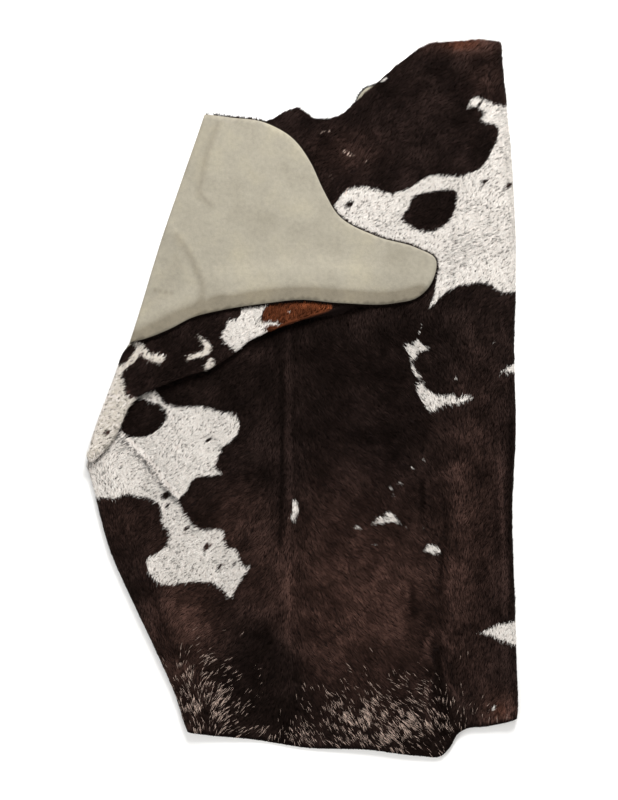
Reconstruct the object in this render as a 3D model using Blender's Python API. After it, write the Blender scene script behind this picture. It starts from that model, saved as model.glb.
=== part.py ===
# A cowhide tanned with its hair on, folded and laid flat with its hair side up.
# Its right side and its left shoulder are turned under, its left hind leg is turned back over the top
# so that the suede side shows, and one pleat runs from the middle down to the left edge.
# X runs across the laid hide and Y along it, from the neck up to the rump. The tables are in millimetres.

from collections import namedtuple

import bpy
import numpy as np
from mathutils.geometry import delaunay_2d_cdt

MM = 0.001

# Driving dimensions
SHEET = 3 * MM              # leather with its hair pressed flat
PITCH = 7 * MM              # from the middle of one layer to the middle of the next
OVERHANG = 58 * MM          # how far a layer stays raised past the edge of what it covers
SLOPE = 140 * MM            # over which it then comes down to the floor
FOLD_REACH = 50 * MM        # how far a fold's extra height reaches into the hide
EDGE_STEP = 36 * MM         # point spacing along the cut edge
FOLD_STEP = 42 * MM         # point spacing along a fold
FIELD_STEP = 54 * MM        # point spacing on open hide
PLEAT_STEP = 27 * MM        # point spacing along the pleat
CLOSE_STEP = 6 * MM         # point spacing where the cut edge meets a fold
CLOSE_REACH = 22 * MM       # within this distance of it
CLOSEST = 2.6 * MM          # lines of points nearer to each other than this are thinned
HAIR_COLOR = (0.020, 0.012, 0.010, 1.0)
HAIR_ROUGHNESS = 0.62

# Folds. The part that is turned over lies to the left of the way from start to end.
# A bend is how far the folded edge stands out from the straight line at a length along it.
Bend = namedtuple("Bend", "along out")
Fold = namedtuple("Fold", "start end bends round lift")

RIGHT_FOLD = Fold((593, 991), (593, -893), (
    Bend(0, -39), Bend(165, -25), Bend(317, -10), Bend(616, 2), Bend(840, -3), Bend(1064, 2),
    Bend(1316, -8), Bend(1568, 0), Bend(1680, 3), Bend(1850, 8), Bend(1884, 6)), round=8, lift=8)

LEFT_FOLD = Fold((-320, -930), (-601, -188), (
    Bend(0, 0), Bend(103, -5), Bend(233, 1), Bend(373, 12), Bend(541, 22),
    Bend(793, 0), Bend(850, 30), Bend(950, 90)), round=8, lift=7)

FLAP_FOLD = Fold((-480, 154), (-272, 792), (
    Bend(-200, 110), Bend(-60, 40), Bend(0, 0), Bend(300, 6), Bend(490, 3), Bend(671, 0)), round=8, lift=7)

# The pleat's ridge runs from the middle of the hide to its left edge, with the lower body on its left.
PLEAT = Fold((134, 277), (-602, -74), (
    Bend(0, 10), Bend(20, 12), Bend(130, -5), Bend(220, -16), Bend(300, -18), Bend(350, -6),
    Bend(440, 5), Bend(500, -3), Bend(640, -12), Bend(690, 6), Bend(735, 44), Bend(775, 73),
    Bend(862, 104)), round=6, lift=4)
# Distances in millimetres from a fold's line to the lines of points beside it.
FOLD_ROWS = (-24, -12, -6, 0, 6, 12, 24)
CREST_ROWS = (-24, -12, -5, 0)
RETURN_ROWS = (5, 12)
VALLEY_ROWS = (0, 5, 12, 24)

Width = namedtuple("Width", "along width")
PLEAT_WIDTHS = (Width(0, 0), Width(300, 38), Width(600, 72), Width(700, 73), Width(862, 66))
PLEAT_RISE = (-80 * MM, 42 * MM)      # along the pleat, from level hide to full layers

# The cut edge, clockwise from the top of the flap's fold, each landmark where it lies in the folded hide.
Mark = namedtuple("Mark", "x y")
Run = namedtuple("Run", "name panel marks")

CUT_EDGE = (
    Run("rump", "upper", (
        Mark(-272, 792), Mark(-214, 775), Mark(-146, 767), Mark(-100, 775), Mark(-40, 804),
        Mark(-19, 811), Mark(40, 781), Mark(94, 785), Mark(152, 830), Mark(225, 896),
        Mark(262, 929), Mark(307, 962), Mark(352, 989), Mark(414, 995), Mark(522, 999), Mark(554, 991))),
    Run("right hind leg", "under right", (
        Mark(554, 991), Mark(464, 943), Mark(402, 907), Mark(332, 887), Mark(246, 884),
        Mark(192, 873), Mark(164, 873), Mark(150, 858), Mark(146, 826), Mark(174, 785),
        Mark(344, 655), Mark(464, 571), Mark(514, 473), Mark(540, 332))),
    Run("right belly", "under right", (
        Mark(540, 332), Mark(442, 193), Mark(380, -87), Mark(400, -339), Mark(386, -535))),
    Run("right fore leg", "under right", (
        Mark(386, -535), Mark(274, -703), Mark(170, -815), Mark(174, -874), Mark(222, -893),
        Mark(358, -866), Mark(470, -877), Mark(556, -888), Mark(599, -893))),
    Run("neck", "lower", (
        Mark(599, -893), Mark(578, -902), Mark(517, -916), Mark(456, -924), Mark(438, -934),
        Mark(410, -979), Mark(389, -999), Mark(328, -999), Mark(185, -982), Mark(-6, -975),
        Mark(-50, -968), Mark(-127, -955), Mark(-261, -941), Mark(-320, -930))),
    Run("left fore leg", "under left", (
        Mark(-320, -930), Mark(-258, -871), Mark(-194, -768), Mark(-110, -628), Mark(76, -506),
        Mark(74, -418), Mark(-48, -330), Mark(-311, -376), Mark(-415, -286), Mark(-500, -222),
        Mark(-601, -188))),
    Run("left flank under the pleat", "lower", (
        Mark(-601, -188), Mark(-583, -149), Mark(-563, -93), Mark(-536, -42))),
    Run("turn of the pleat", "return", (
        Mark(-536, -42), Mark(-564, -90), Mark(-588, -145), Mark(-595, -170), Mark(-590, -177))),
    Run("left flank", "upper", (
        Mark(-590, -177), Mark(-597, -170), Mark(-594, -144), Mark(-575, -76), Mark(-549, -3), Mark(-517, 82),
        Mark(-501, 126), Mark(-480, 154))),
    Run("left hind leg", "flap", (
        Mark(-480, 154), Mark(-450, 163), Mark(-371, 193), Mark(-306, 226), Mark(-226, 246),
        Mark(-94, 266), Mark(-8, 275), Mark(104, 266), Mark(262, 267), Mark(322, 282),
        Mark(349, 305), Mark(369, 341), Mark(372, 391), Mark(322, 420), Mark(209, 453),
        Mark(111, 503), Mark(61, 579), Mark(22, 662), Mark(-28, 728), Mark(-107, 772),
        Mark(-199, 785), Mark(-272, 792))),
)


def smoothstep(value, low, high):
    share = np.clip((value - low) / (high - low), 0, 1)
    return share * share * (3 - 2 * share)


def hermite(share, start, end, start_slope, end_slope):
    rest = 1 - share
    return ((1 + 2 * share) * rest**2 * start + share * rest**2 * start_slope
            + (3 - 2 * share) * share**2 * end - share**2 * rest * end_slope)


# A smooth curve through a table's two columns, without overshoot and level beyond its ends.
def read_table(at, rows):
    knots = np.array(rows, dtype=float) * MM
    place = knots[:, 0]
    value = knots[:, 1]
    step = np.diff(place)
    slope = np.diff(value) / step
    before = slope[:-1]
    after = slope[1:]
    rising = before * after > 0
    tangent = np.zeros(len(place))
    tangent[1:-1][rising] = 2 * (before * after)[rising] / (before + after)[rising]
    at = np.clip(at, place[0], place[-1])
    k = np.clip(np.searchsorted(place, at) - 1, 0, len(step) - 1)
    share = (at - place[k]) / step[k]
    return hermite(share, value[k], value[k + 1], step[k] * tangent[k], step[k] * tangent[k + 1])


# A fold's start, its direction along, its direction out, and its length.
def fold_frame(fold):
    start = np.array(fold.start) * MM
    way = np.array(fold.end) * MM - start
    length = np.hypot(*way)
    along = way / length
    return start, along, np.array((-along[1], along[0])), length


# How far along a fold each point is, and how far beyond its line.
def place_on_fold(points, fold):
    start, along, out, _ = fold_frame(fold)
    distance = (points - start) @ along
    line = read_table(distance, fold.bends) + fold.round * MM
    return distance, (points - start) @ out - line


# Turn what is beyond the fold over the line. The second result is 0 on the body and 1 on the turned part.
def turn_over(points, fold):
    out = fold_frame(fold)[2]
    beyond = place_on_fold(points, fold)[1]
    soft = np.hypot(beyond, fold.round * MM)
    return points - np.outer(beyond + soft, out), 0.5 + 0.5 * beyond / soft


# Where a landmark that lies on a turned part, or on the body beside the fold, is in the flat hide.
def turn_back(points, fold, turned):
    out = fold_frame(fold)[2]
    laid = place_on_fold(points, fold)[1]
    flat = np.sqrt(np.maximum(laid**2 - (fold.round * MM)**2, 0))
    return points + np.outer((flat if turned else -flat) - laid, out)


# Pleat the flat hide: new places, layers above the lower body, and the share of the top layer.
def make_pleat(points):
    out = fold_frame(PLEAT)[2]
    along, below = place_on_fold(points, PLEAT)
    width = read_table(along, PLEAT_WIDTHS)
    valley = below + width
    crest = below + 2 * width
    soft_valley = np.hypot(valley, PLEAT.round * MM)
    soft_crest = np.hypot(crest, PLEAT.round * MM)
    laid = soft_valley - width + crest - soft_crest
    top = 0.5 - 0.5 * crest / soft_crest
    layers = top + 0.5 - 0.5 * valley / soft_valley
    return points + np.outer(laid - below, out), layers, top


# Draw the upper hide out of the pleat. What lies below the ridge line on the turn goes back twice as far.
def open_pleat(points, turned):
    width = read_table(place_on_fold(points, PLEAT)[0], PLEAT_WIDTHS)
    return points - 2 * np.outer(width + turned, fold_frame(PLEAT)[2])


# The flat place of a landmark on one panel of the folded hide.
def flatten(points, panel):
    if panel == "flap":
        points = turn_back(points, FLAP_FOLD, turned=True)
    if panel == "upper":
        points = turn_back(points, FLAP_FOLD, turned=False)
    if panel in ("lower", "under right", "upper"):
        points = turn_back(points, RIGHT_FOLD, turned=panel == "under right")
    if panel in ("lower", "under left"):
        points = turn_back(points, LEFT_FOLD, turned=panel == "under left")
    if panel in ("flap", "upper"):
        points = open_pleat(points, 0)
    if panel == "return":
        points = open_pleat(points, place_on_fold(points, PLEAT)[1])
    return points


# How far each flat point is from the nearest line where the hide is folded.
def distance_to_folds(points):
    nearest = np.full(len(points), FIELD_STEP)
    pleated = make_pleat(points)[0]
    for fold in (RIGHT_FOLD, LEFT_FOLD, FLAP_FOLD):
        along, beyond = place_on_fold(pleated if fold == FLAP_FOLD else points, fold)
        beside = (along > -FIELD_STEP) & (along < fold_frame(fold)[3] + FIELD_STEP)
        nearest = np.where(beside, np.minimum(nearest, abs(beyond)), nearest)
    along, below = place_on_fold(points, PLEAT)
    width = read_table(along, PLEAT_WIDTHS)
    crest_or_valley = np.minimum(abs(below + width), abs(below + 2 * width))
    return np.where(along > 0, np.minimum(nearest, crest_or_valley), nearest)


# Points on a smooth curve through a run's landmarks, closer near the folds, without the last one.
def smooth_run(marks, step):
    reach = np.concatenate(([0], np.cumsum(np.hypot(*np.diff(marks, axis=0).T))))
    tangent = np.gradient(marks, reach, axis=0)
    at = np.linspace(0, reach[-1], round(reach[-1] / (2 * MM)) + 1)
    k = np.clip(np.searchsorted(reach, at, side="right") - 1, 0, len(marks) - 2)
    gap = (reach[k + 1] - reach[k])[:, None]
    share = (at - reach[k])[:, None] / gap
    fine = hermite(share, marks[k], marks[k + 1], gap * tangent[k], gap * tangent[k + 1])
    wanted = CLOSE_STEP + (step - CLOSE_STEP) * smoothstep(distance_to_folds(fine), CLOSE_REACH, FIELD_STEP)
    count = np.concatenate(([0], np.cumsum(np.hypot(*np.diff(fine, axis=0).T) / wanted[1:])))
    places = np.linspace(0, count[-1], max(2, round(count[-1])) + 1)[:-1]
    return np.column_stack([np.interp(places, count, fine[:, axis]) for axis in (0, 1)])


def flat_edge(step):
    return {run.name: smooth_run(flatten(np.array(run.marks) * MM, run.panel), step) for run in CUT_EDGE}


# Each point's distance from a closed loop, less than zero inside it.
def distance_to_loop(points, loop):
    side = np.roll(loop, -1, axis=0) - loop
    away = points[:, None, :] - loop
    share = np.clip((away * side).sum(axis=2) / (side * side).sum(axis=1), 0, 1)
    gap = np.hypot(*np.moveaxis(away - share[..., None] * side, 2, 0)).min(axis=1)
    lower = away[..., 1] >= 0
    crossing = lower != np.roll(lower, -1, axis=1)
    height = np.where(side[:, 1] == 0, 1, side[:, 1])
    left = away[..., 0] < side[:, 0] * away[..., 1] / height
    inside = (crossing & left).sum(axis=1) % 2 == 1
    return np.where(inside, -gap, gap)


# The place of each flat point seen from above, and its share of each turned or pleated layer.
def fold_up(flat):
    spot, layers, top = make_pleat(flat)
    lower = layers < 1
    over, flap = turn_over(spot, FLAP_FOLD)
    spot = np.where(lower[:, None], spot, over)
    flap = np.where(lower, 0, flap)
    under, right = turn_over(spot, RIGHT_FOLD)
    beside_flap = flap > 0.5
    spot = np.where(beside_flap[:, None], spot, under)
    right = np.where(beside_flap, 0, right)
    under, left = turn_over(spot, LEFT_FOLD)
    spot = np.where(lower[:, None], under, spot)
    left = np.where(lower, left, 0)
    return spot, layers, top, flap, np.maximum(left, right)


# The extra height beside a fold.
def swell(spot, fold):
    beside = -place_on_fold(spot, fold)[1] - fold.round * MM
    return fold.lift * MM * np.exp(-(beside / FOLD_REACH)**2)


# The middle of the leather at each flat point of the folded hide.
def lay_hide(flat, edge):
    spot, layers, top, flap, under = fold_up(flat)
    right_lobe = np.concatenate([edge[name] for name in ("right hind leg", "right belly", "right fore leg")])
    covered = np.zeros(len(flat))
    for lobe in (right_lobe, edge["left fore leg"]):
        outside = distance_to_loop(spot, fold_up(lobe)[0])
        covered = np.maximum(covered, 1 - smoothstep(outside, OVERHANG, OVERHANG + SLOPE))
    height = SHEET / 2 + PITCH * covered + swell(spot, RIGHT_FOLD) + swell(spot, LEFT_FOLD)

    along, below = place_on_fold(spot, PLEAT)
    started = smoothstep(along, *PLEAT_RISE)
    above_valley = -below - read_table(along, PLEAT_WIDTHS)
    raised = started * (1 - smoothstep(above_valley, OVERHANG, OVERHANG + SLOPE))
    ridge = started * swell(spot, PLEAT)
    beside_ridge = 1 - smoothstep(below, 0, OVERHANG)
    flap_height = height + beside_ridge * (2 * PITCH * raised + ridge) + PITCH + swell(spot, FLAP_FOLD)
    height = height + PITCH * layers * raised + top * ridge
    height = height + flap * (flap_height - height)
    height = height + under * (SHEET / 2 - height)
    return np.column_stack((spot, height))


# Lines of flat points that run along a fold: one line for each offset, one point for each station.
def fold_lines(fold, stations, offsets):
    start, along, out, _ = fold_frame(fold)
    line = read_table(stations, fold.bends) + fold.round * MM
    return start + np.outer(stations, along) + (line + offsets)[..., None] * out


def plain_fold_lines(fold):
    length = fold_frame(fold)[3]
    stations = np.linspace(0, length, round(length / FOLD_STEP) + 1)
    lines = fold_lines(fold, stations, np.array(FOLD_ROWS)[:, None] * MM)
    if fold == FLAP_FOLD:
        lines = open_pleat(lines.reshape(-1, 2), 0).reshape(lines.shape)
    return lines


# The pleat's lines close up on each other where it begins.
def pleat_lines():
    stations = np.arange(PLEAT_RISE[0], fold_frame(PLEAT)[3], PLEAT_STEP)
    width = read_table(stations, PLEAT_WIDTHS)
    offsets = [row * MM - 2 * width for row in CREST_ROWS]
    for row in RETURN_ROWS:
        offsets.append(np.minimum(row * MM, 0.25 * row / RETURN_ROWS[0] * width) - 2 * width)
    offsets.append(-1.5 * width)
    for row in reversed(RETURN_ROWS):
        offsets.append(-np.minimum(row * MM, 0.25 * row / RETURN_ROWS[0] * width) - width)
    offsets += [row * MM - width for row in VALLEY_ROWS]
    return fold_lines(PLEAT, stations, np.array(offsets))


# Keep the points of some lines that lie inside the hide and apart from each other, and join neighbours.
def keep_lines(lines, loop, first):
    kept = distance_to_loop(lines.reshape(-1, 2), loop).reshape(lines.shape[:2]) < -0.5 * CLOSE_STEP
    for k in range(1, len(lines)):
        last = np.maximum.accumulate(np.where(kept[:k], np.arange(k)[:, None], 0), axis=0)[-1]
        apart = np.hypot(*(lines[k] - lines[last, np.arange(lines.shape[1])]).T)
        kept[k] &= (apart > CLOSEST) | ~kept[last, np.arange(lines.shape[1])]
    number = np.full(kept.shape, -1)
    number[kept] = first + np.arange(kept.sum())
    joined = kept[:, :-1] & kept[:, 1:]
    return lines[kept], np.column_stack((number[:, :-1][joined], number[:, 1:][joined])).tolist()


# Even rows of points over the whole flat hide, each row shifted by half a step.
def field_points(loop):
    low = loop.min(axis=0)
    high = loop.max(axis=0)
    rows = np.arange(low[1], high[1], FIELD_STEP * 0.866)
    return np.array([(x + (k % 2) * FIELD_STEP / 2, y) for k, y in enumerate(rows)
                     for x in np.arange(low[0], high[0], FIELD_STEP)])


# The flat hide as triangles: its edge, close lines along the folds and even points elsewhere.
def flat_mesh(edge):
    loop = np.concatenate(list(edge.values()))
    points = [loop]
    joins = []
    for lines in [plain_fold_lines(fold) for fold in (RIGHT_FOLD, LEFT_FOLD, FLAP_FOLD)] + [pleat_lines()]:
        kept, joined = keep_lines(lines, loop, sum(len(part) for part in points))
        points.append(kept)
        joins += joined
    rows = np.concatenate(points[1:])
    field = field_points(loop)
    field = field[distance_to_loop(field, loop) < -0.5 * FIELD_STEP]
    nearest = np.hypot(*np.moveaxis(field[:, None, :] - rows, 2, 0)).min(axis=1)
    points.append(field[nearest > 0.6 * FIELD_STEP])
    points = np.concatenate(points)
    result = delaunay_2d_cdt(points.tolist(), joins, [list(range(len(loop)))], 1, 1e-7)
    return np.array([tuple(point) for point in result[0]]), result[2]


def hide_material():
    material = bpy.data.materials.new("hair-on leather")
    material.use_nodes = True
    shader = material.node_tree.nodes["Principled BSDF"]
    shader.inputs["Base Color"].default_value = HAIR_COLOR
    shader.inputs["Roughness"].default_value = HAIR_ROUGHNESS
    shader.inputs["Metallic"].default_value = 0.0
    material.diffuse_color = HAIR_COLOR
    return material


def make_hide():
    edge = flat_edge(EDGE_STEP)
    flat, triangles = flat_mesh(edge)
    points = lay_hide(flat, edge)
    points[:, :2] -= (points.min(axis=0) + points.max(axis=0))[:2] / 2
    mesh = bpy.data.meshes.new("hide")
    mesh.from_pydata(points.tolist(), [], triangles)
    mesh.shade_smooth()
    mesh.materials.append(hide_material())
    hide = bpy.data.objects.new("hide", mesh)
    bpy.context.collection.objects.link(hide)
    leather = hide.modifiers.new("leather thickness", "SOLIDIFY")
    leather.thickness = SHEET
    leather.offset = 0.0
    leather.use_even_offset = False


for old in list(bpy.data.objects):
    bpy.data.objects.remove(old)
make_hide()
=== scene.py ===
import math
from collections import namedtuple

import bpy
import numpy as np
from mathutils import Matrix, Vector
from mathutils.bvhtree import BVHTree
from mathutils.geometry import delaunay_2d_cdt
from mathutils.kdtree import KDTree


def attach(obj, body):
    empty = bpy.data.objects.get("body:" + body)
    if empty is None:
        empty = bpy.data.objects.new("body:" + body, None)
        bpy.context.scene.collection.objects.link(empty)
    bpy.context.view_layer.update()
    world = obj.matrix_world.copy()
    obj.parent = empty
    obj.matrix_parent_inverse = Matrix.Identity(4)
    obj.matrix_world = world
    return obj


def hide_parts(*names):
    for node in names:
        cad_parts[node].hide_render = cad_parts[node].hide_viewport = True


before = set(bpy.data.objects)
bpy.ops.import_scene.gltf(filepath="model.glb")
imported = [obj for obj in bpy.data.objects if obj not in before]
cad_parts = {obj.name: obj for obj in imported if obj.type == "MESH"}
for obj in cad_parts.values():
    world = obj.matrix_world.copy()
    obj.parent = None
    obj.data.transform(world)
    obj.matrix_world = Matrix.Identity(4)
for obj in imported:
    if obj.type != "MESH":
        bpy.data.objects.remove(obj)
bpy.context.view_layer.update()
bpy.ops.object.select_all(action="DESELECT")
mm = 0.001

# The folds and the cut edge are those of the solid, in finer steps.
sheetValues = {
    "thickness": 3 * mm,
    "pitch": 7 * mm,          # from the middle of one layer to the middle of the next
    "overhang": 58 * mm,      # how far a layer stays raised past the edge of what it covers
    "slope": 140 * mm,        # over which it then comes down to the floor
    "foldReach": 50 * mm,     # how far a fold's extra height reaches into the hide
    "edgeStep": 9 * mm,
    "foldStep": 14 * mm,
    "pleatStep": 10 * mm,
    "fieldStep": 10 * mm,
    "closeStep": 5 * mm,      # point spacing where the cut edge meets a fold
    "closest": 2 * mm,
    "waveHeight": 2.6 * mm,   # soft unevenness of hide that lies on a floor
    "waveLength": 120 * mm,
    "flat": (2.19, 2.0),
    "flatArea": 2.93,
}

# A fold's bends say how far out of its line it is at some places along it.
Fold = namedtuple("Fold", "start end bends round lift")

rightFold = Fold((593, 991), (593, -893), (
    (0, -39), (165, -25), (317, -10), (616, 2), (840, -3), (1064, 2),
    (1316, -8), (1568, 0), (1680, 3), (1850, 8), (1884, 6)), round=8, lift=8)

leftFold = Fold((-320, -930), (-601, -188), (
    (0, 0), (103, -5), (233, 1), (373, 12), (541, 22),
    (793, 0), (850, 30), (950, 90)), round=8, lift=7)

flapFold = Fold((-480, 154), (-272, 792), (
    (-200, 110), (-60, 40), (0, 0), (300, 6), (490, 3), (671, 0)), round=8, lift=7)

# The pleat's ridge runs from the middle of the hide to its left edge. Its widths are given along it.
pleat = Fold((134, 277), (-602, -74), (
    (0, 10), (20, 12), (130, -5), (220, -16), (300, -18), (350, -6),
    (440, 5), (500, -3), (640, -12), (690, 6), (735, 44), (775, 73),
    (862, 104)), round=6, lift=4)
pleatWidths = ((0, 0), (300, 38), (600, 72), (700, 73), (862, 66))
pleatRise = (-80 * mm, 42 * mm)

foldRows = (-24, -16, -10, -5, 0, 5, 10, 16, 24)
crestRows = (-24, -16, -10, -5, 0)
returnRows = (5, 12)
valleyRows = (0, 5, 12, 24)

# The cut edge all round, in runs that each lie on one panel of the folded hide.
Run = namedtuple("Run", "name panel marks")

cutEdge = (
    Run("rump", "upper", (
        (-272, 792), (-214, 775), (-146, 767), (-100, 775), (-40, 804), (-19, 811), (40, 781), (94, 785),
        (152, 830), (225, 896), (262, 929), (307, 962), (352, 989), (414, 995), (522, 999), (554, 991))),
    Run("right hind leg", "under right", (
        (554, 991), (464, 943), (402, 907), (332, 887), (246, 884), (198, 875), (176, 866), (160, 848),
        (151, 824), (174, 785), (344, 655), (464, 571), (514, 473), (540, 332))),
    Run("right belly", "under right", (
        (540, 332), (442, 193), (380, -87), (400, -339), (386, -535))),
    Run("right fore leg", "under right", (
        (386, -535), (274, -703), (170, -815), (174, -874), (222, -893), (358, -866), (470, -877),
        (556, -888), (599, -893))),
    Run("neck", "lower", (
        (599, -893), (578, -902), (517, -916), (456, -924), (438, -934), (410, -979), (389, -999),
        (328, -999), (185, -982), (-6, -975), (-50, -968), (-127, -955), (-261, -941), (-320, -930))),
    Run("left fore leg", "under left", (
        (-320, -930), (-258, -871), (-194, -768), (-110, -628), (76, -506), (74, -418), (-48, -330),
        (-311, -376), (-415, -286), (-500, -222), (-601, -188))),
    Run("left flank under the pleat", "lower", (
        (-601, -188), (-583, -149), (-563, -93), (-536, -42))),
    Run("turn of the pleat", "return", (
        (-536, -42), (-564, -90), (-588, -145), (-595, -170), (-590, -177))),
    Run("left flank", "upper", (
        (-590, -177), (-597, -170), (-594, -144), (-575, -76), (-549, -3), (-517, 82), (-501, 126),
        (-480, 154))),
    Run("left hind leg", "flap", (
        (-480, 154), (-450, 163), (-371, 193), (-306, 226), (-226, 246), (-94, 266), (-8, 275),
        (104, 266), (262, 267), (322, 282), (349, 305), (369, 341), (372, 391), (322, 420), (209, 453),
        (111, 503), (61, 579), (22, 662), (-28, 728), (-107, 772), (-199, 785), (-272, 792))),
)


def smoothstep(value, low, high):
    share = np.clip((value - low) / (high - low), 0, 1)
    return share * share * (3 - 2 * share)


def hermite(share, start, end, startSlope, endSlope):
    rest = 1 - share
    return ((1 + 2 * share) * rest**2 * start + share * rest**2 * startSlope
            + (3 - 2 * share) * share**2 * end - share**2 * rest * endSlope)


# A smooth curve through a table's two columns, without overshoot and level beyond its ends.
def readTable(at, rows):
    knots = np.array(rows, dtype=float) * mm
    place = knots[:, 0]
    value = knots[:, 1]
    step = np.diff(place)
    slope = np.diff(value) / step
    before = slope[:-1]
    after = slope[1:]
    rising = before * after > 0
    tangent = np.zeros(len(place))
    tangent[1:-1][rising] = 2 * (before * after)[rising] / (before + after)[rising]
    at = np.clip(at, place[0], place[-1])
    k = np.clip(np.searchsorted(place, at) - 1, 0, len(step) - 1)
    share = (at - place[k]) / step[k]
    return hermite(share, value[k], value[k + 1], step[k] * tangent[k], step[k] * tangent[k + 1])


# A fold's start, its direction along, its direction out, and its length.
def foldFrame(fold):
    start = np.array(fold.start) * mm
    way = np.array(fold.end) * mm - start
    length = np.hypot(*way)
    along = way / length
    return start, along, np.array((-along[1], along[0])), length


# How far along a fold each point is, and how far beyond its line.
def placeOnFold(points, fold):
    start, along, out, _ = foldFrame(fold)
    distance = (points - start) @ along
    line = readTable(distance, fold.bends) + fold.round * mm
    return distance, (points - start) @ out - line


# Turn what is beyond the fold over the line. The second result is 0 on the body and 1 on the turned part.
def turnOver(points, fold):
    out = foldFrame(fold)[2]
    beyond = placeOnFold(points, fold)[1]
    soft = np.hypot(beyond, fold.round * mm)
    return points - np.outer(beyond + soft, out), 0.5 + 0.5 * beyond / soft


# Where a landmark that lies on a turned part, or on the body beside the fold, is in the flat hide.
def turnBack(points, fold, turned):
    out = foldFrame(fold)[2]
    laid = placeOnFold(points, fold)[1]
    flat = np.sqrt(np.maximum(laid**2 - (fold.round * mm)**2, 0))
    return points + np.outer((flat if turned else -flat) - laid, out)


# Pleat the flat hide: new places, layers above the lower body, and the share of the top layer.
def makePleat(points):
    out = foldFrame(pleat)[2]
    along, below = placeOnFold(points, pleat)
    width = readTable(along, pleatWidths)
    valley = below + width
    crest = below + 2 * width
    softValley = np.hypot(valley, pleat.round * mm)
    softCrest = np.hypot(crest, pleat.round * mm)
    laid = softValley - width + crest - softCrest
    top = 0.5 - 0.5 * crest / softCrest
    layers = top + 0.5 - 0.5 * valley / softValley
    return points + np.outer(laid - below, out), layers, top


# Draw the upper hide out of the pleat. What lies below the ridge line on the turn goes back twice as far.
def openPleat(points, turned):
    width = readTable(placeOnFold(points, pleat)[0], pleatWidths)
    return points - 2 * np.outer(width + turned, foldFrame(pleat)[2])


# The flat place of a landmark on one panel of the folded hide.
def flatten(points, panel):
    if panel == "flap":
        points = turnBack(points, flapFold, turned=True)
    if panel == "upper":
        points = turnBack(points, flapFold, turned=False)
    if panel in ("lower", "under right", "upper"):
        points = turnBack(points, rightFold, turned=panel == "under right")
    if panel in ("lower", "under left"):
        points = turnBack(points, leftFold, turned=panel == "under left")
    if panel in ("flap", "upper"):
        points = openPleat(points, 0)
    if panel == "return":
        points = openPleat(points, placeOnFold(points, pleat)[1])
    return points


# How far each flat point is from the nearest line where the hide is folded.
def distanceToFolds(points):
    most = 54 * mm
    nearest = np.full(len(points), most)
    pleated = makePleat(points)[0]
    for fold in (rightFold, leftFold, flapFold):
        along, beyond = placeOnFold(pleated if fold == flapFold else points, fold)
        beside = (along > -most) & (along < foldFrame(fold)[3] + most)
        nearest = np.where(beside, np.minimum(nearest, abs(beyond)), nearest)
    along, below = placeOnFold(points, pleat)
    width = readTable(along, pleatWidths)
    crestOrValley = np.minimum(abs(below + width), abs(below + 2 * width))
    return np.where(along > 0, np.minimum(nearest, crestOrValley), nearest)


# Points on a smooth curve through landmarks, without the last one.
def smoothPath(marks, step=2 * mm):
    reach = np.concatenate(([0], np.cumsum(np.hypot(*np.diff(marks, axis=0).T))))
    tangent = np.gradient(marks, reach, axis=0)
    at = np.linspace(0, reach[-1], round(reach[-1] / step) + 1)
    k = np.clip(np.searchsorted(reach, at, side="right") - 1, 0, len(marks) - 2)
    gap = (reach[k + 1] - reach[k])[:, None]
    share = (at - reach[k])[:, None] / gap
    return hermite(share, marks[k], marks[k + 1], gap * tangent[k], gap * tangent[k + 1])


# A run's points, closer to each other near the folds.
def smoothRun(marks):
    fine = smoothPath(marks)
    closeStep = sheetValues["closeStep"]
    near = smoothstep(distanceToFolds(fine), 22 * mm, 54 * mm)
    wanted = closeStep + (sheetValues["edgeStep"] - closeStep) * near
    count = np.concatenate(([0], np.cumsum(np.hypot(*np.diff(fine, axis=0).T) / wanted[1:])))
    places = np.linspace(0, count[-1], max(2, round(count[-1])) + 1)[:-1]
    return np.column_stack([np.interp(places, count, fine[:, axis]) for axis in (0, 1)])


# Which points are within reach of some others' box.
def nearBox(points, others, reach):
    return ((points > others.min(axis=0) - reach) & (points < others.max(axis=0) + reach)).all(axis=1)


# Each point's distance from a closed loop, less than zero inside it. Points go through a few at a time,
# and those out of reach of the loop just get the reach.
def distanceToLoop(points, loop, reach=None, atATime=4000):
    if reach:
        near = nearBox(points, loop, reach)
        distance = np.full(len(points), reach)
        if near.any():
            distance[near] = np.minimum(distanceToLoop(points[near], loop), reach)
        return distance
    side = np.roll(loop, -1, axis=0) - loop
    square = (side * side).sum(axis=1)
    height = np.where(side[:, 1] == 0, 1, side[:, 1])
    found = []
    for k in range(0, len(points), atATime):
        away = points[k:k + atATime, None, :] - loop
        share = np.clip((away * side).sum(axis=2) / square, 0, 1)
        gap = np.hypot(away[..., 0] - share * side[:, 0], away[..., 1] - share * side[:, 1]).min(axis=1)
        lower = away[..., 1] >= 0
        crossing = lower != np.roll(lower, -1, axis=1)
        left = away[..., 0] < side[:, 0] * away[..., 1] / height
        inside = (crossing & left).sum(axis=1) % 2 == 1
        found.append(np.where(inside, -gap, gap))
    return np.concatenate(found)


# Each point's distance from an open line, or the reach where that is less.
def distanceToPath(points, path, reach):
    near = nearBox(points, path, reach)
    distance = np.full(len(points), reach)
    start = path[:-1]
    side = np.diff(path, axis=0)
    away = points[near][:, None, :] - start
    share = np.clip((away * side).sum(axis=2) / (side * side).sum(axis=1), 0, 1)
    gaps = np.hypot(away[..., 0] - share * side[:, 0], away[..., 1] - share * side[:, 1])
    distance[near] = np.minimum(gaps.min(axis=1, initial=reach), reach)
    return distance


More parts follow.
